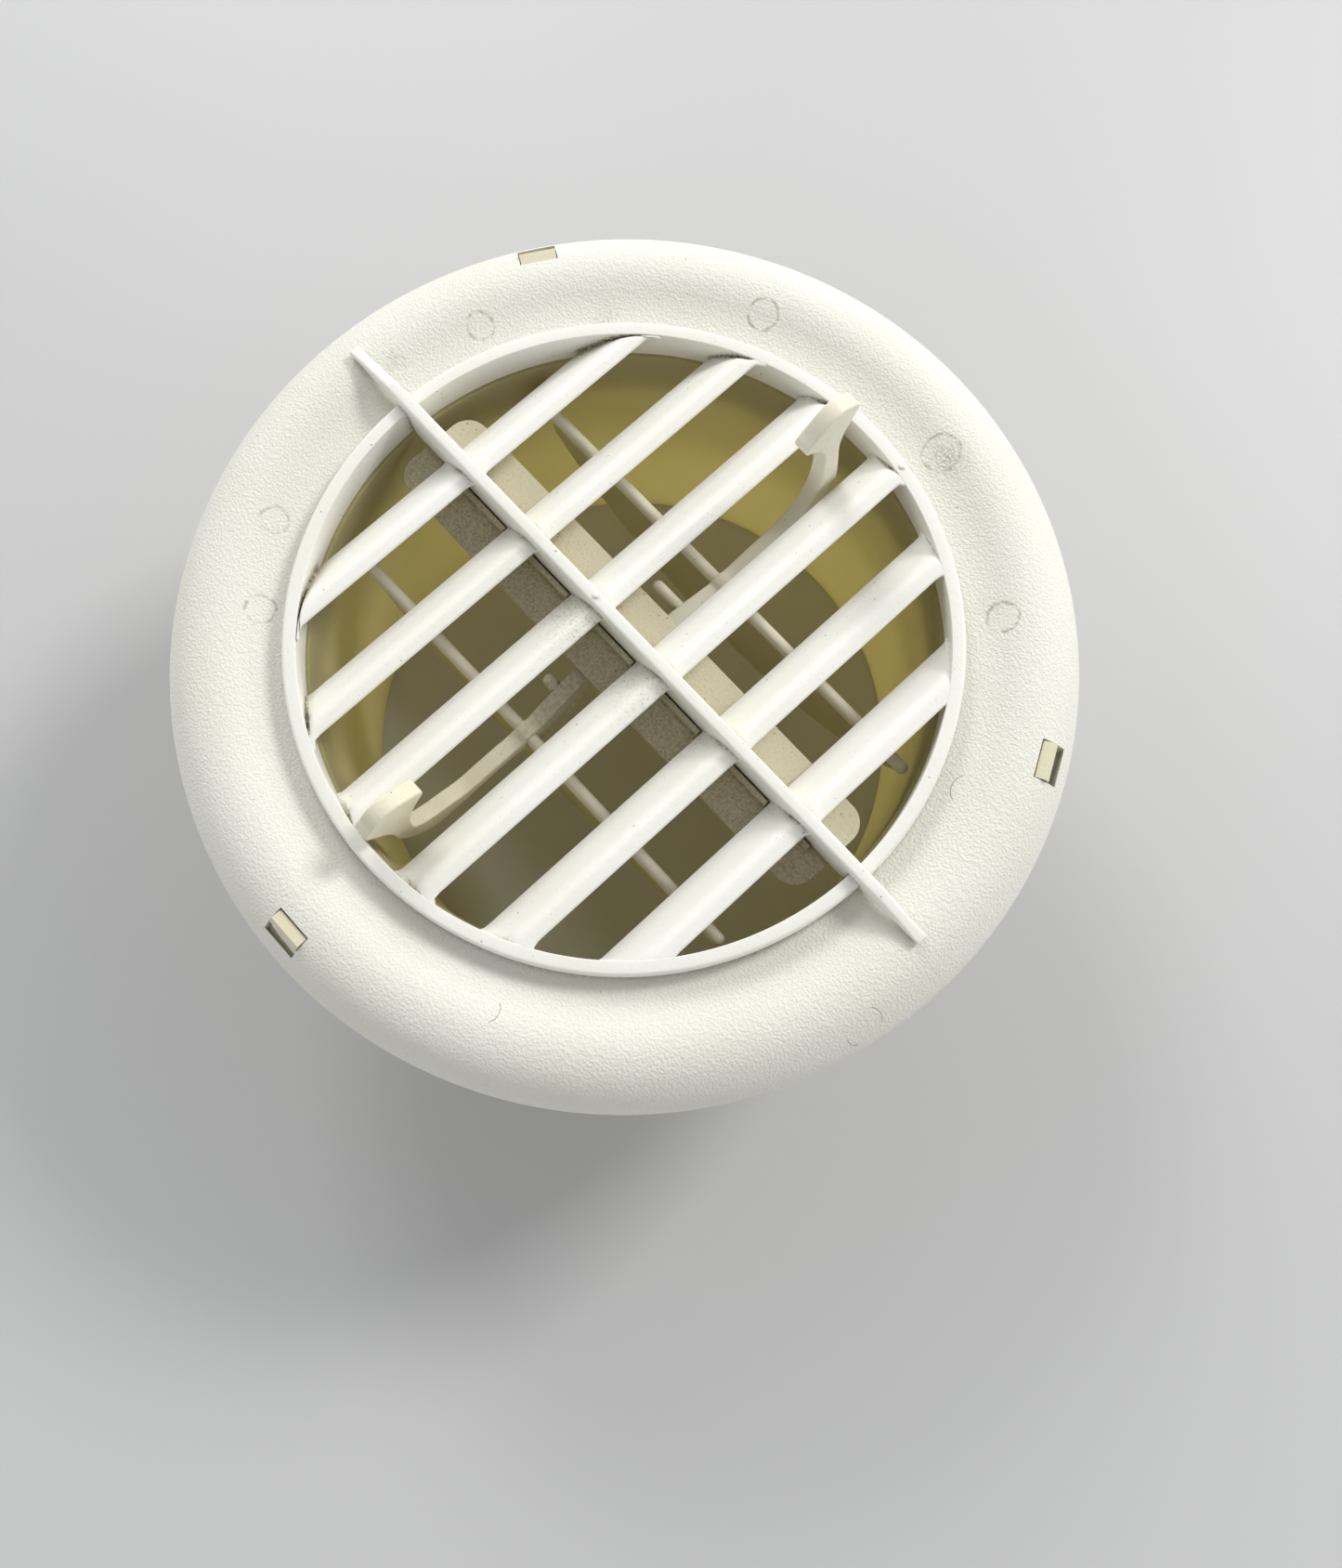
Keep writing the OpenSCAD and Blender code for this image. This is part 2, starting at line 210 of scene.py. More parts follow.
class Paint(Nodes):
    """A new material's nodes."""

    def __init__(self, name):
        self.material = bpy.data.materials.new(name)
        self.material.use_nodes = True
        super().__init__(self.material.node_tree)
        self.shader = self.tree.nodes["Principled BSDF"]
        self.place = self.tree.nodes.new("ShaderNodeTexCoord").outputs["Object"]

    def flat_place(self):
        """The place with its height left out."""
        return self.vector("MULTIPLY", self.place, (1, 1, 0))

    def noise(self, size, detail=2.0, rough=0.5, shift=0.0):
        """Noise whose features are about size millimetres across."""
        place = self.place
        if shift:
            place = self.vector("ADD", place, (shift, shift, shift))
        inputs = {"Vector": place, "Scale": 1 / (size * MM), "Detail": detail, "Roughness": rough}
        return self.add("ShaderNodeTexNoise", inputs).outputs["Fac"]

    def mix(self, amount, a, b):
        node = self.add("ShaderNodeMix", data_type="RGBA")
        self.set(node.inputs["Factor"], amount)
        for socket, value in zip((s for s in node.inputs if s.type == "RGBA"), (a, b)):
            self.set(socket, value)
        return next(s for s in node.outputs if s.type == "RGBA")

    def crevice(self, reach):
        """1 in corners, 0 on open faces, within reach millimetres."""
        inputs = {"Distance": reach * MM}
        node = self.add("ShaderNodeAmbientOcclusion", inputs, samples=AO_SAMPLES)
        return self.math("SUBTRACT", 1.0, node.outputs["AO"])

    def specks(self, size, share, shift):
        """Small round specks of about size millimetres in a share of the surface's cells."""
        cell = 4 * size
        place = self.vector("ADD", self.place, (shift, shift, 0.0))
        cells = self.add("ShaderNodeTexVoronoi", {"Vector": place, "Scale": 1 / (cell * MM)})
        near = self.ramp(cells.outputs["Distance"], 0.16, 0.08)
        split = self.add("ShaderNodeSeparateColor", {0: cells.outputs["Color"]}).outputs[0]
        chosen = self.ramp(split, 1 - share, 1 - share + 0.03)
        return self.math("MULTIPLY", near, chosen)


def rgb(*value):
    return (*value, 1.0)


# colours of dust and grime, also used for painted shade on the -Y side of the fin
DUST_AND_SHADE = rgb(0.37, 0.315, 0.145)
GRIME_AND_SHADE = rgb(0.15, 0.105, 0.04)
SPECK = rgb(0.12, 0.09, 0.045)
WATER_RING = rgb(0.42, 0.35, 0.22)
SMUDGE = rgb(0.40, 0.35, 0.26)
HAIR = rgb(0.24, 0.19, 0.12)
CREAM = rgb(0.83, 0.80, 0.69)


def worn(n, base, aged):
    """The base colour, yellowed in broad patches and a fine mottle."""
    patch = n.ramp(n.noise(38, 3.0), 0.35, 0.72)
    colour = n.mix(n.math("MULTIPLY", patch, 0.8), base, aged)
    mottle = n.ramp(n.noise(2.4, 3.0, 0.6, shift=0.7), 0.3, 0.75)
    return n.mix(n.math("MULTIPLY", mottle, 0.12), colour, aged)


def dusted(n, colour, fluff, dust):
    """The colour under dust in wide corners and as a film, and grime in tight corners."""
    corner = n.ramp(n.crevice(dust["reach"]), 0.28, 0.85)
    film = n.math("MULTIPLY", corner, n.blend(fluff, 0.35, 0.95))
    film = n.math("ADD", film, n.math("MULTIPLY", n.blend(fluff, 0.25, 1.0), dust["film"]))
    colour = n.mix(n.math("MULTIPLY", film, dust["amount"], clamp=True), colour, DUST_AND_SHADE)

    tight = n.ramp(n.crevice(1.6), 0.26, 0.62)
    crumbs = n.ramp(n.noise(0.8, 4.0, 0.75, shift=0.5), 0.40, 0.60)
    grime = n.math("MULTIPLY", n.math("MULTIPLY", tight, crumbs), dust["grime"], clamp=True)
    return n.mix(grime, colour, GRIME_AND_SHADE)


def speckled(n, colour, share):
    """The colour under dark specks of two sizes, in patches."""
    coarse, fine = n.specks(0.34, share, 0.01), n.specks(0.16, share * 1.6, 0.05)
    spots = n.math("ADD", coarse, fine, clamp=True)
    patchy = n.ramp(n.noise(9, 2.0, shift=0.2), 0.36, 0.60)
    spots = n.math("MULTIPLY", n.math("MULTIPLY", spots, patchy), 0.8)
    return n.mix(spots, colour, SPECK)


def pebbled(n, size, height):
    """A bump of pebbles of a size and height in millimetres."""
    pebble = n.ramp(n.noise(size, 2.0, 0.5), 0.32, 0.68)
    ripple = n.noise(size * 4.5, 2.0, 0.5, shift=0.9)
    relief = n.blend(ripple, n.math("MULTIPLY", pebble, 0.75), n.math("ADD", pebble, 0.25))
    inputs = {"Height": relief, "Strength": 1.0, "Distance": height * MM}
    return n.add("ShaderNodeBump", inputs).outputs["Normal"]


PLASTIC_FINISH = {
    "IOR": 1.49,
    "Specular IOR Level": 0.42,
    "Subsurface Weight": 0.08,
    "Subsurface Radius": (1.0, 0.85, 0.5),
    "Subsurface Scale": 1.6 * MM,
}


def plastic(name, base, aged, rough, grain, dust, specks, marks=None, through=None):
    """Moulded plastic: base and aged colours, grain (size, height) in mm, dust in its corners.

    dust has the corners' reach in mm, the amount of dust, the share that lies as a film, and the
    grime in tight corners. specks is their share, and marks adds to the colour. through is the
    share and the colour of the light that passes a thin wall.
    """
    n = Paint(name)
    fluff = n.ramp(n.noise(0.5, 4.0, 0.7, shift=0.3), 0.38, 0.62)
    colour = worn(n, base, aged)
    colour = dusted(n, colour, fluff, dust)
    colour = speckled(n, colour, specks)
    if marks:
        colour = marks(n, colour)
    n.set(n.shader.inputs["Base Color"], colour)
    n.set(n.shader.inputs["Roughness"], n.blend(fluff, rough, rough + 0.12))
    for socket, value in PLASTIC_FINISH.items():
        n.shader.inputs[socket].default_value = value
    normal = pebbled(n, *grain)
    n.set(n.shader.inputs["Normal"], normal)
    if through:
        share, tint = through
        thin = n.add("ShaderNodeBsdfTranslucent", {"Color": tint, "Normal": normal})
        surface = n.tree.nodes["Material Output"].inputs["Surface"]
        inputs = {0: share, 1: n.shader.outputs["BSDF"], 2: thin.outputs["BSDF"]}
        n.set(surface, n.add("ShaderNodeMixShader", inputs).outputs["Shader"])
    return n.material


# Places on the trim ring are a radius from the middle in millimetres and an angle in degrees.
# old water rings: place, ring's radius, strength
STAINS = (
    (70.0, 161.0, 2.7, 0.6), (72.0, 114.6, 3.0, 0.7), (72.0, 78.3, 3.6, 0.8),
    (72.0, 50.2, 3.0, 0.75), (70.0, 208.0, 2.6, 0.5), (68.0, 222.7, 2.8, 0.6),
)
# smudges of grey dust: place, size, strength
SMUDGES = (
    (72.5, 77.0, 6.0, 0.75), (71.7, 175.7, 3.4, 0.6),
    (70.5, 52.0, 3.4, 0.45), (66.5, 140.0, 4.5, 0.4),
)
# hairs and scratches, arcs of circles: centre's place, circle's radius, direction of the arc
HAIRS = (
    (70.0, 22.0, 3.4, 200.0), (83.5, -11.0, 2.2, 90.0),
    (84.5, -13.5, 1.6, -60.0), (73.0, -62.0, 2.6, 20.0),
)


def polar(radius, angle):
    """A point in metres at a radius in millimetres and an angle in degrees."""
    a = math.radians(angle)
    return (radius * MM * math.cos(a), radius * MM * math.sin(a), 0.0)


def trim_marks(n, colour):
    """Water rings, dust smudges and hairs on the trim ring's face."""
    flat = n.flat_place()
    wobble = n.add("ShaderNodeTexNoise", {"Vector": n.place, "Scale": 260.0, "Detail": 2.0})
    inputs = {0: wobble.outputs["Color"], "Scale": 1.1 * MM}
    bend = n.add("ShaderNodeVectorMath", inputs, operation="SCALE")
    bent = n.vector("ADD", flat, bend.outputs[0])

    def distance(point, radius, angle):
        return n.measure("DISTANCE", point, polar(radius, angle))

    def off_circle(point, radius, angle, size):
        """Distance from a circle of a size about a place."""
        return n.math("ABSOLUTE", n.math("SUBTRACT", distance(point, radius, angle), size * MM))

    broken = n.ramp(n.noise(2.2, 3.0, 0.7, shift=0.4), 0.36, 0.62)
    stain = 0.0
    for radius, angle, size, strength in STAINS:
        edge = n.ramp(off_circle(bent, radius, angle, size), 0.45 * MM, 0.1 * MM)
        stain = n.math("ADD", stain, n.math("MULTIPLY", edge, strength))
    stain = n.math("MULTIPLY", stain, broken, clamp=True)
    colour = n.mix(stain, colour, WATER_RING)
    grime = 0.0
    for radius, angle, size, strength in SMUDGES:
        spot = n.ramp(distance(bent, radius, angle), size * MM, 0.0)
        grime = n.math("ADD", grime, n.math("MULTIPLY", spot, strength))
    grit = n.ramp(n.noise(0.7, 4.0, 0.75, shift=0.6), 0.42, 0.66)
    grime = n.math("MULTIPLY", grime, grit, clamp=True)
    colour = n.mix(grime, colour, SMUDGE)
    hair = 0.0
    for radius, angle, size, towards in HAIRS:
        edge = n.ramp(off_circle(flat, radius, angle, size), 0.11 * MM, 0.04 * MM)
        centre = Vector(polar(radius, angle)) + Vector(polar(size * 1.25, towards))
        near = n.measure("DISTANCE", flat, centre)
        part = n.ramp(near, size * 1.05 * MM, size * 0.9 * MM)
        hair = n.math("ADD", hair, n.math("MULTIPLY", edge, part), clamp=True)
    return n.mix(n.math("MULTIPLY", hair, 0.7), colour, HAIR)


def one_sided_dirt_and_shade(near_y, far_y, amount, size):
    """Brown film and crumbs, painted shade with dirt, growing from one Y to another, all in
    millimetres.
    """
    def add_dirt_and_shade(n, colour):
        y = n.add("ShaderNodeSeparateXYZ", {0: n.place}).outputs["Y"]
        where = n.ramp(y, near_y * MM, far_y * MM)
        crumbs = n.ramp(n.noise(size, 5.0, 0.78, shift=0.8), 0.38, 0.66)
        # the brown film is painted shade on the shaded side; the crumbs below are dirt
        colour = n.mix(n.math("MULTIPLY", where, amount * 0.55), colour, DUST_AND_SHADE)
        dirt = n.math("MULTIPLY", n.math("MULTIPLY", where, crumbs), amount, clamp=True)
        return n.mix(dirt, colour, GRIME_AND_SHADE)
    return add_dirt_and_shade


def fin_shadow_and_dirt(n, colour):
    """Painted shadow of the fin, with dirt crumbs, on the louvres' -Y side near the middle."""
    split = n.add("ShaderNodeSeparateXYZ", {0: n.place})
    y = split.outputs["Y"]
    along = n.math("ABSOLUTE", split.outputs["X"])
    where = n.math("MULTIPLY", n.ramp(y, -17 * MM, -3 * MM), n.ramp(y, -0.9 * MM, -1.8 * MM))
    where = n.math("MULTIPLY", where, n.ramp(along, 36 * MM, 8 * MM))
    crumbs = n.ramp(n.noise(0.6, 5.0, 0.78, shift=0.8), 0.50, 0.66)
    # a brown film and dark crumbs: painted shade of the fin's shadow, mixed with dirt
    colour = n.mix(n.math("MULTIPLY", where, 0.10), colour, DUST_AND_SHADE)
    return n.mix(n.math("MULTIPLY", n.math("MULTIPLY", where, crumbs), 0.55), colour, GRIME_AND_SHADE)


def cream_outside_painted_shade_inside(n, colour):
    """Cream outer wall on the collar; its olive inside is painted shade for the duct's dim light."""
    radius = n.measure("DISTANCE", n.flat_place(), (0.0, 0.0, 0.0))
    return n.mix(n.ramp(radius, 61.0 * MM, 61.8 * MM), colour, CREAM)


def dress(nodes, material):
    """Gives CAD nodes a material."""
    for name in nodes:
        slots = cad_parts[name].data.materials
        slots.clear()
        slots.append(material)


trim_plastic = plastic(
    "trim_plastic", rgb(0.87, 0.86, 0.785), rgb(0.84, 0.82, 0.72), 0.46, (0.50, 0.105),
    {"reach": 4.0, "amount": 0.35, "film": 0.0, "grime": 0.35}, 0.03, marks=trim_marks,
)
# the grille's marks are the fin's painted shadow on the louvres, with dirt
grille_plastic = plastic(
    "grille_plastic", rgb(0.91, 0.90, 0.845), rgb(0.88, 0.86, 0.77), 0.36, (1.1, 0.02),
    {"reach": 3.4, "amount": 0.95, "film": 0.0, "grime": 0.95}, 0.10, marks=fin_shadow_and_dirt,
)
# the housing's olive base colours are painted shade for the dim, yellowed light inside the duct
housing_plastic = plastic(
    "housing_plastic", rgb(0.60, 0.56, 0.35), rgb(0.54, 0.50, 0.29), 0.42, (1.4, 0.02),
    {"reach": 6.0, "amount": 0.25, "film": 0.02, "grime": 0.4}, 0.04,
    marks=cream_outside_painted_shade_inside, through=(0.42, rgb(0.96, 0.88, 0.50)),
)
flange_plastic = plastic(
    "flange_plastic", rgb(0.78, 0.73, 0.55), rgb(0.74, 0.68, 0.48), 0.42, (1.0, 0.02),
    {"reach": 3.0, "amount": 0.3, "film": 0.02, "grime": 0.3}, 0.04,
)
# the damper plates' olive base colours, darker than the rods, are painted shade for the light inside
# the duct
damper_plastic = plastic(
    "damper_plastic", rgb(0.68, 0.63, 0.42), rgb(0.62, 0.565, 0.35), 0.42, (1.2, 0.02),
    {"reach": 3.0, "amount": 0.6, "film": 0.08, "grime": 0.6}, 0.16,
)
rod_plastic = plastic(
    "rod_plastic", rgb(0.86, 0.82, 0.68), rgb(0.80, 0.75, 0.58), 0.40, (1.2, 0.02),
    {"reach": 1.5, "amount": 0.4, "film": 0.06, "grime": 0.4}, 0.16,
)
# the bar's -Y side, in the fin's shadow, gets painted shade as a brown film, with crumbs of dirt
bar_plastic = plastic(
    "bar_plastic", rgb(0.80, 0.75, 0.57), rgb(0.72, 0.66, 0.47), 0.52, (0.8, 0.03),
    {"reach": 5.0, "amount": 0.75, "film": 0.22, "grime": 0.9}, 0.75,
    marks=one_sided_dirt_and_shade(2.0, -3.0, 0.50, 0.55),
)
lever_plastic = plastic(
    "lever_plastic", rgb(0.85, 0.815, 0.68), rgb(0.80, 0.75, 0.59), 0.36, (1.0, 0.02),
    {"reach": 3.0, "amount": 0.5, "film": 0.03, "grime": 0.6}, 0.16,
)
dirty_lever_plastic = plastic(
    "dirty_lever_plastic", rgb(0.84, 0.80, 0.65), rgb(0.77, 0.71, 0.53), 0.40, (1.0, 0.02),
    {"reach": 3.0, "amount": 0.6, "film": 0.05, "grime": 0.7}, 0.30,
    marks=one_sided_dirt_and_shade(-33.0, -17.0, 0.40, 0.9),
)


# ---- grille ----

# a louvre's half width over all, and the width of its flat top
LOUVRE_HALF = 4.6
LOUVRE_FLAT = 3.5
LOUVRE_DEPTH = FACE_Z - BAR_TOP_Z
LOUVRE_LEAN = 2 * LOUVRE_HALF - LOUVRE_FLAT
FIN_T = 2.5
FIN_RISE = (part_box("finger_fin")[1].z / MM) - FACE_Z
FIN_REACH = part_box("finger_fin")[1].x / MM
# how far a louvre's ends reach into the ring, and its fillets at the ring and at the fin
RING_BITE = 1.0
RING_FILLET = 1.7
FIN_FILLET = 0.8
# height of a louvre's back edge, where the fillets are weaker, and by how much
BACK_EDGE = 1.0
BACK_SHARE = 0.4
# how far the louvres' tops lie under the face
FACE_SINK = 0.04


def louvre_section():
    """A louvre's outline, (x, z) from its middle at the face: a slanted slat with a rounded back."""
    h, flat, deep, lean = LOUVRE_HALF, LOUVRE_FLAT, LOUVRE_DEPTH, LOUVRE_LEAN
    slope = Vector((-lean, -deep)).normalized()
    knee = Vector((h - flat, 0.0))
    down = knee + slope * 2.3
    points = [(h - 0.12, -0.45)]
    points += arc((h - 0.55, -0.45), 0.45, 10, 90, 4)
    points += curve([(knee.x + 1.5, 0), (knee.x + 0.5, -0.02), (knee + slope * 0.9)[:], down[:]], 8)
    points += [down[:], ((knee + slope * 5.0)[:])]
    points += arc((-h + 0.42, -deep + 0.35), 0.35, 170, 270, 4)
    points += arc((h - lean - 0.45, -deep + 0.35), 0.35, -90, -20, 4)
    points += [(h - lean * 0.55, -deep * 0.55), (h - lean * 0.25, -deep * 0.27)]
    return points


def flare(away, radius):
    """How far a fillet of the radius stands out at a distance from the wall."""
    if away >= radius:
        return 0.0
    return radius - math.sqrt(radius ** 2 - (radius - away) ** 2)


def louvre(index):
    """One louvre, filleted into the ring and the fin."""
    low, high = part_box(f"louvre_{index}")
    x_mid = (low.x + high.x) / 2 / MM
    section = louvre_section()
    steps = 26
    end_r = RING_IN_R + RING_BITE
    rows = []
    for side in (-1, 1):
        part = []
        for k in range(steps + 1):
            u = (1 - math.cos(math.pi * k / steps)) / 2
            row = []
            for x, z in section:
                reach = math.sqrt(end_r ** 2 - (x_mid + x) ** 2)
                y = u * reach
                middle = LOUVRE_HALF - LOUVRE_FLAT + (z / LOUVRE_DEPTH) * LOUVRE_LEAN
                outward = 1 if x > middle else -1
                near_ring = flare(max(reach - RING_BITE - y, 0.0), RING_FILLET)
                near_fin = flare(max(y - FIN_T / 2, 0.0), FIN_FILLET)
                share = 1.0 if z > -LOUVRE_DEPTH + BACK_EDGE else BACK_SHARE
                shift = outward * (near_ring + near_fin) * share
                row.append((x_mid + x + shift, side * y, FACE_Z - FACE_SINK + z))
            part.append(row)
        rows += part[::-1] if side < 0 else part[1:]
    verts, faces = loft(rows)
    name = f"louvre_{index}_moulded"
    obj = piece(name, verts, faces, "grille", grille_plastic, [f"louvre_{index}"])


def ring():
    """The grille's face ring, skirt and bead, with eased edges."""
    bead_z = SKIRT_Z + 0.8
    skirt_r = 62.0
    bead_r = RING_R - 0.1
    shelf_z = FACE_Z - 3.4
    section = []
    section += arc((RING_IN_R + 0.3, SKIRT_Z + 0.3), 0.3, 180, 270, 3)
    section += arc((bead_r - 0.25, SKIRT_Z + 0.25), 0.25, -90, 0, 3)
    section += arc((bead_r - 0.25, bead_z - 0.25), 0.25, 0, 90, 3)
    section += [(skirt_r, bead_z), (skirt_r, shelf_z)]
    section += arc((RING_R - 0.3, shelf_z + 0.3), 0.3, -90, 0, 3)
    section += arc((RING_R - 0.7, FACE_Z - 0.7), 0.7, 0, 90, 6)
    section += arc((RING_IN_R + 0.18, FACE_Z - 0.18), 0.18, 90, 180, 6)
    verts, faces = lathe(section, 288)
    obj = piece("grille_ring_moulded", verts, faces, "grille", grille_plastic, ["grille_ring"])


def blend_up(value, low, high):
    """0 below low, 1 above high, smooth between."""
    t = min(max((value - low) / (high - low), 0.0), 1.0)
    return t * t * (3 - 2 * t)


def fin():
    """The finger fin: a web with a rounded top that thins out over the trim ring."""
    steps = 150
    thinning, tip_rise = 0.15, 0.3
    web_deep, arm_deep, arm_lift = 6.8, 3.0, 2.5
    thins_from, slopes_from = 55, RING_R + 3
    rows = []
    for k in range(steps + 1):
        x = -FIN_REACH + 2 * FIN_REACH * k / steps
        out = abs(x)
        half = FIN_T / 2 - thinning * blend_up(out, thins_from, FIN_REACH)
        slope = (FIN_RISE - tip_rise) / (FIN_REACH - slopes_from)
        top = FACE_Z + FIN_RISE - slope * max(out - slopes_from, 0)
        if out < RING_IN_R + 0.4:
            low = FACE_Z - web_deep
        else:
            low = FACE_Z - arm_deep + arm_lift * blend_up(out, RING_IN_R + 0.4, FIN_REACH - 2)
        radius = min(0.55, half * 0.8, (top - low) / 3)
        row = [(x, -half, low), (x, -half, (low + top) / 2)]
        row += [(x, y, z) for y, z in arc((-half + radius, top - radius), radius, 180, 90, 5)]
        row += [(x, y, z) for y, z in arc((half - radius, top - radius), radius, 90, 0, 5)]
        row += [(x, half, (low + top) / 2), (x, half, low)]
        rows.append(row)
    verts, faces = loft(rows)
    obj = piece("finger_fin_moulded", verts, faces, "grille", grille_plastic, ["finger_fin"])
    bevel(obj, 0.25, 2, 60)


def nub(name, x, y, z, radius):
    """A small round stub left by the mould's gate."""
    turns = [TAU * i / 20 for i in range(20)]
    rows = [
        [(x + r * math.cos(a), y + r * math.sin(a), z + up) for a in turns]
        for r, up in ((radius, -0.3), (radius, 0.1), (radius * 0.8, 0.3), (radius * 0.35, 0.38))
    ]
    verts, faces = loft(rows)
    obj = piece(name, verts, faces, "grille", grille_plastic)


# ---- levers ----

LEVER_T = 3.3
ROD_HUB_R = 2.6
PEG_R = 1.3
# the peg's middle: distance from the fin, and depth under the face
PEG_Y, PEG_DEPTH = 14.5, 14.2
# the peg's rounded end: distance from its tip, radius
PEG_END = [(0.0, 0.35), (0.12, 0.75), (0.4, 1.08), (0.85, 1.25), (1.4, PEG_R)]
# how far the peg reaches into its lever
PEG_BITE = 0.4
# the pad's part of the lever's outline is past this Y and above this height, and moves fully
# once it is PAD_BLEND higher
PAD_FROM_Y, PAD_FROM_Z, PAD_BLEND = 42, 4, 12


def lever_outline(pad_shift):
    """A lever seen from the side: distance from the fin, height above the hinge."""
    points = arc((9.6, 4.6), 1.5, 120, 240, 10)
    points += curve([(8.9, 3.2), (10.5, -1.5), (14, -5), (20, -5.6)])
    points += curve([(20, -5.6), (24, -5.8), (27, -5), (27.6, -2)])
    points += curve([(27.6, -2), (33, -0.9), (38, -1.2), (45, -1.4)])
    points += curve([(45, -1.4), (52.5, -1.7), (54.2, 3.5), (54.4, 10.5)])
    points += curve([(54.4, 10.5), (54.6, 18), (53.4, 20.5), (55.8, 25.5)])
    points += arc((56, 30.2), 1.9, -30, 75, 10)
    points += curve([(56.3, 32.1), (53.4, 35.6), (49.6, 33.8), (46.6, 31.2)])
    points += arc((46.7, 29.4), 1.7, 110, 235, 10)
    points += curve([(46, 27.8), (50.4, 23.6), (50.8, 19), (50.6, 14)])
    points += curve([(50.6, 14), (50.2, 8), (46.6, 3.6), (40, 2.1)])
    points += curve([(40, 2.1), (36, 2), (31, 2.2), (27, 1.5)])
    points += arc((HINGE_Y, 0.0), ROD_HUB_R, 48, 132, 8)
    points += curve([(22.2, 2), (18, 3.6), (13, 5.8), (9.4, 6.1)])
    moved = []
    for y, z in points:
        on_pad = y > PAD_FROM_Y and z > PAD_FROM_Z
        share = min((z - PAD_FROM_Z) / PAD_BLEND, 1) if on_pad else 0
        moved.append((y + share * pad_shift[0], z + share * pad_shift[1]))
    return moved


def rested(name, side, y, z):
    """Y and Z of a point of a hanging damper, once turned about its hinge to where it rests."""
    turn = math.radians(side * REST_TURN[name])
    out, up = side * (y - HINGE_Y), z - HINGE_Z
    return (
        side * HINGE_Y + out * math.cos(turn) - up * math.sin(turn),
        HINGE_Z + out * math.sin(turn) + up * math.cos(turn),
    )


def lever(name, side):
    """A damper's lever with rounded edges, and its peg."""
    low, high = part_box(f"damper_lever_{name}")
    x_top = high.x / MM
    x_bottom = x_top - LEVER_T
    material = lever_plastic if name == "a" else dirty_lever_plastic
    side_view = [rested(name, side, y, HINGE_Z + z) for y, z in lever_outline(PAD_SHIFT[name])]
    rows = [[(x, y, z) for y, z in side_view] for x in (x_bottom, x_top)]
    verts, faces = loft(rows)
    obj = piece(
        f"damper_lever_{name}_moulded", verts, faces, f"damper_{name}", material,
        [f"damper_lever_{name}"],
    )
    bevel(obj, 0.55, 4, 60)
    tip = low.x / MM
    peg_y, peg_z = rested(name, side, PEG_Y, FACE_Z - PEG_DEPTH)
    turns = [TAU * i / 28 for i in range(28)]
    peg_rows = [
        [(tip + along, peg_y + r * math.cos(a), peg_z + r * math.sin(a)) for a in turns]
        for along, r in PEG_END + [(x_bottom - tip + PEG_BITE, PEG_R)]
    ]
    verts, faces = loft(peg_rows)
    peg = piece(f"damper_peg_{name}", verts, faces, f"damper_{name}", material)


ring()
for number in range(1, LOUVRE_COUNT + 1):
    louvre(number)
fin()
NUB_R = 0.6
NUB_X = 11.5
nub("gate_nub_1", -8.0, 0.15, FACE_Z + FIN_RISE, NUB_R)
nub("gate_nub_2", NUB_X, math.sqrt((RING_R - 1.3) ** 2 - NUB_X ** 2), FACE_Z, NUB_R)
lever("a", 1)
lever("b", -1)

dress(["trim_ring"], trim_plastic)
dress(["duct_collar"], housing_plastic)
dress(["ceiling_flange"], flange_plastic)
dress(["damper_bar"], bar_plastic)
dress(["bar_stakes"] + [f"hinge_hanger_{i}" for i in range(1, 5)], grille_plastic)
dress(["damper_plate_a", "damper_plate_b"], damper_plastic)
dress(["damper_rod_a", "damper_rod_b"], rod_plastic)
soften_cad("damper_bar", 0.3)
for number in range(1, 5):
    soften_cad(f"hinge_hanger_{number}", 0.2)


# ---- stage, lights and camera ----

def stage_floor():
    """A plain pale floor just under the collar, 3.2 m across."""
    n = Paint("floor_paint")
    tone = n.ramp(n.noise(260, 2.0), 0.2, 0.8)
    colour = n.mix(tone, rgb(0.60, 0.603, 0.605), rgb(0.63, 0.633, 0.635))
    n.set(n.shader.inputs["Base Color"], colour)
    n.shader.inputs["Roughness"].default_value = 0.55
    half, drop = 1.6 / MM, 0.05
    corners = [(x * half, y * half, -drop) for x, y in ((-1, -1), (1, -1), (1, 1), (-1, 1))]
    mesh = bpy.data.meshes.new("floor")
    mesh.from_pydata([Vector(c) * MM for c in corners], [], [(0, 1, 2, 3)])
    floor = bpy.data.objects.new("floor", mesh)
    floor.data.materials.append(n.material)
    bpy.context.scene.collection.objects.link(floor)


# the camera's right and up directions and its line of sight
PHOTO_RIGHT = Vector((0.6794, 0.7338, 0.0084))
PHOTO_UP = Vector((-0.7182, 0.6625, 0.2129))
VIEW = Vector((-0.1507, 0.1507, -0.9770))
AIM = Vector((0, 0, FACE_Z * MM))
CAMERA_PLACE = Vector((63.8, -50.1, FACE_Z + 237.9))
CAMERA_LENS = 36.12

# distance to the picture's right, to its top and above the vent in metres, size, watts, colour
LAMPS = {
    "key": (1.20, 0.80, 1.12, 0.46, 17.0, (1.0, 0.985, 0.96)),
    "fill": (-0.55, 1.40, 1.00, 0.54, 9.0, (1.0, 0.99, 0.97)),
}
ROOM_TINT = rgb(0.97, 0.98, 1.0)
# the room's strength towards the picture's bottom and top
ROOM_LOW, ROOM_HIGH = 0.60, 1.20
# the room dims between these heights of the sky's unit sphere, to a share of its strength
DIM_FROM, DIM_TO, DIM_SHARE = 0.66, 0.86, 0.16


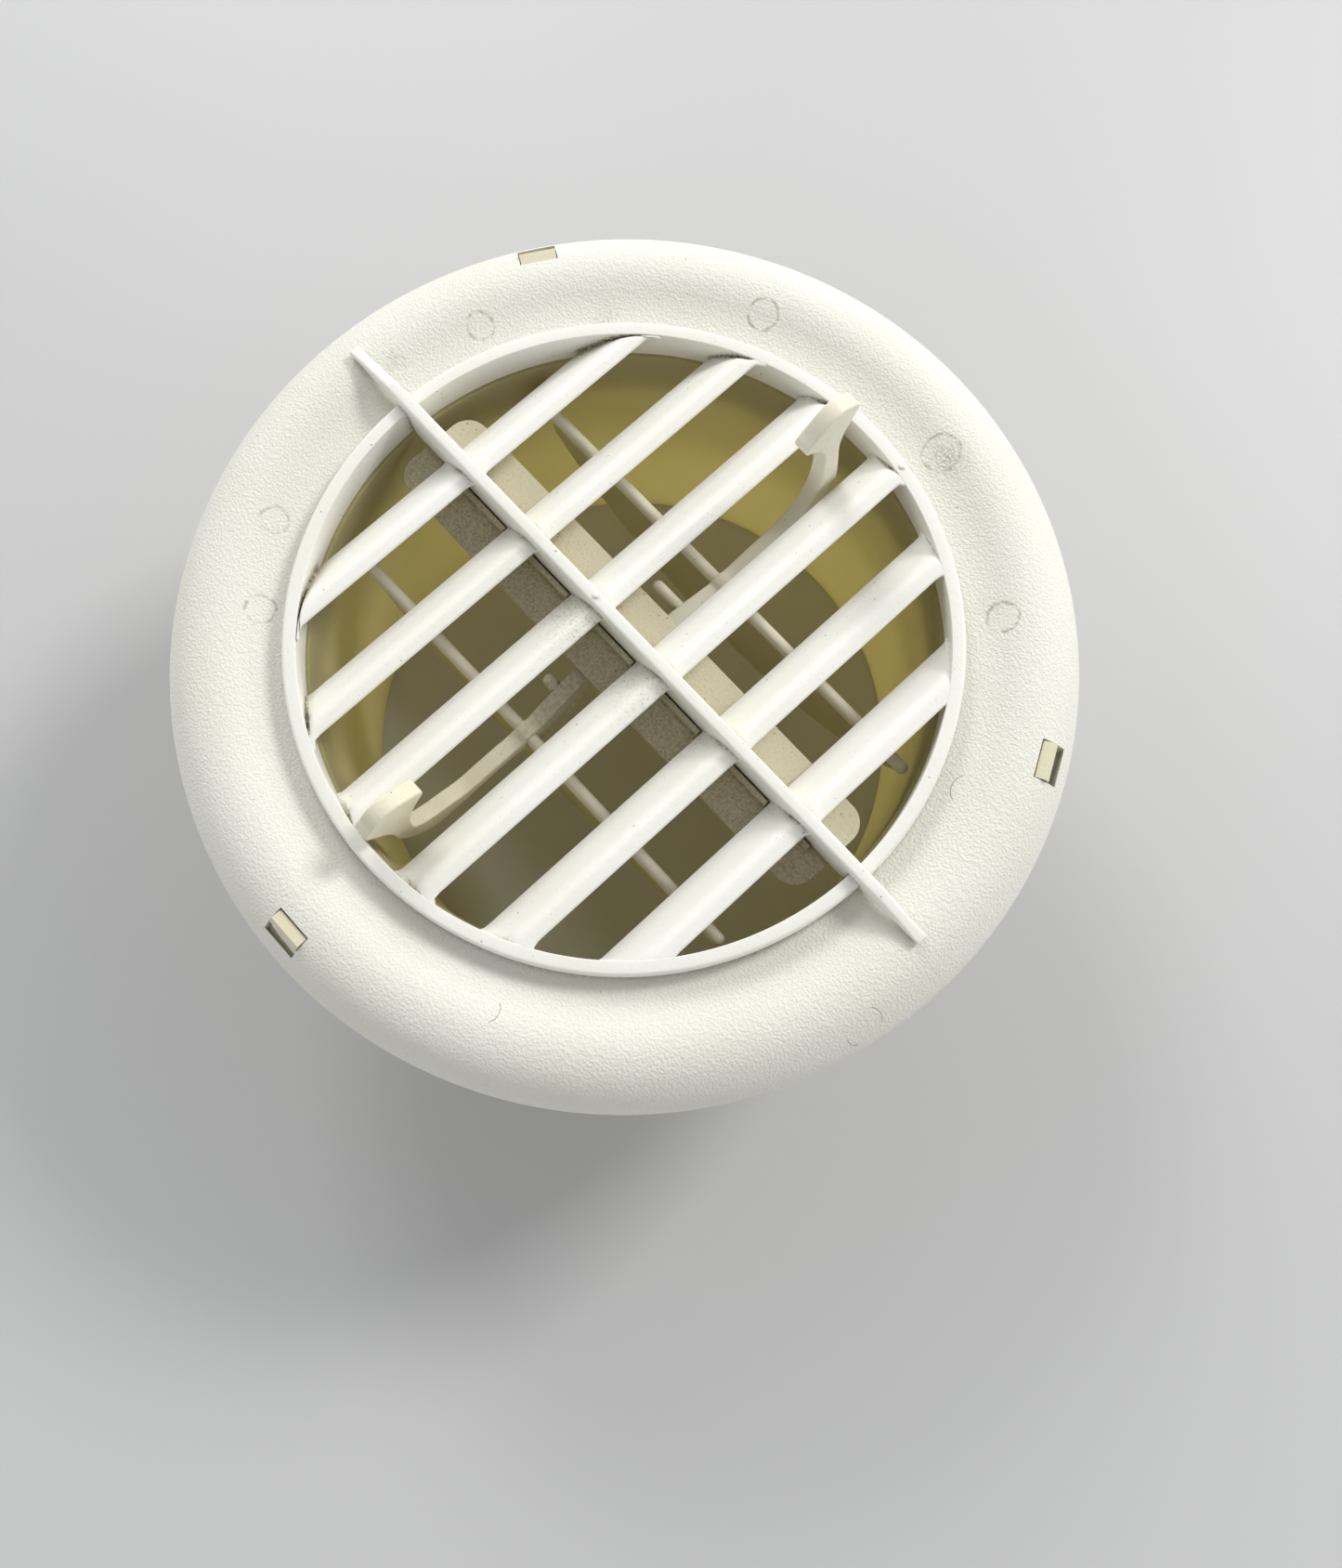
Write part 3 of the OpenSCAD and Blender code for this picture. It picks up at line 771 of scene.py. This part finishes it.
def lamp(name, right, up, height, size, power, colour):
    """A soft square lamp placed by the picture's right and up directions, aimed at the vent."""
    data = bpy.data.lights.new(name, "AREA")
    data.shape = "SQUARE"
    data.size = size
    data.energy = power
    data.color = colour
    obj = bpy.data.objects.new(name, data)
    flat_up = Vector((PHOTO_UP.x, PHOTO_UP.y, 0)).normalized()
    flat_right = Vector((PHOTO_RIGHT.x, PHOTO_RIGHT.y, 0)).normalized()
    obj.location = AIM + flat_right * right + flat_up * up + Vector((0, 0, height))
    obj.rotation_euler = (AIM - obj.location).to_track_quat("-Z", "Y").to_euler()
    bpy.context.scene.collection.objects.link(obj)


def light_and_world():
    """Two soft lights from beyond the top of the picture, and a room that is dimmer overhead."""
    for name, setting in LAMPS.items():
        lamp(name, *setting)
    world = bpy.data.worlds.new("studio")
    world.use_nodes = True
    n = Nodes(world.node_tree)
    way = n.add("ShaderNodeTexCoord").outputs["Generated"]
    lean = n.measure("DOT_PRODUCT", way, (PHOTO_UP.x, PHOTO_UP.y, 0.0))
    level = n.carry(lean, -1.0, 1.0, ROOM_LOW, ROOM_HIGH)
    height = n.add("ShaderNodeSeparateXYZ", {0: way}).outputs["Z"]
    overhead = n.carry(height, DIM_FROM, DIM_TO, 1.0, DIM_SHARE, "SMOOTHSTEP")
    room = n.tree.nodes["Background"].inputs
    n.set(room["Strength"], n.math("MULTIPLY", overhead, level))
    n.set(room["Color"], ROOM_TINT)
    bpy.context.scene.world = world


def camera():
    """The camera, 238 mm above the grille's face, with the tilt and turn of a hand-held shot."""
    data = bpy.data.cameras.new("camera")
    data.sensor_fit = "HORIZONTAL"
    data.sensor_width = 36.0
    data.lens = CAMERA_LENS
    data.clip_start = 0.01
    obj = bpy.data.objects.new("camera", data)
    turn = Matrix((PHOTO_RIGHT, PHOTO_UP, -VIEW)).transposed()
    place = Matrix.Translation(CAMERA_PLACE * MM)
    obj.matrix_world = place @ turn.to_quaternion().to_matrix().to_4x4()
    bpy.context.scene.collection.objects.link(obj)
    bpy.context.scene.camera = obj


stage_floor()
light_and_world()
camera()
bpy.context.scene.view_settings.view_transform = "Standard"
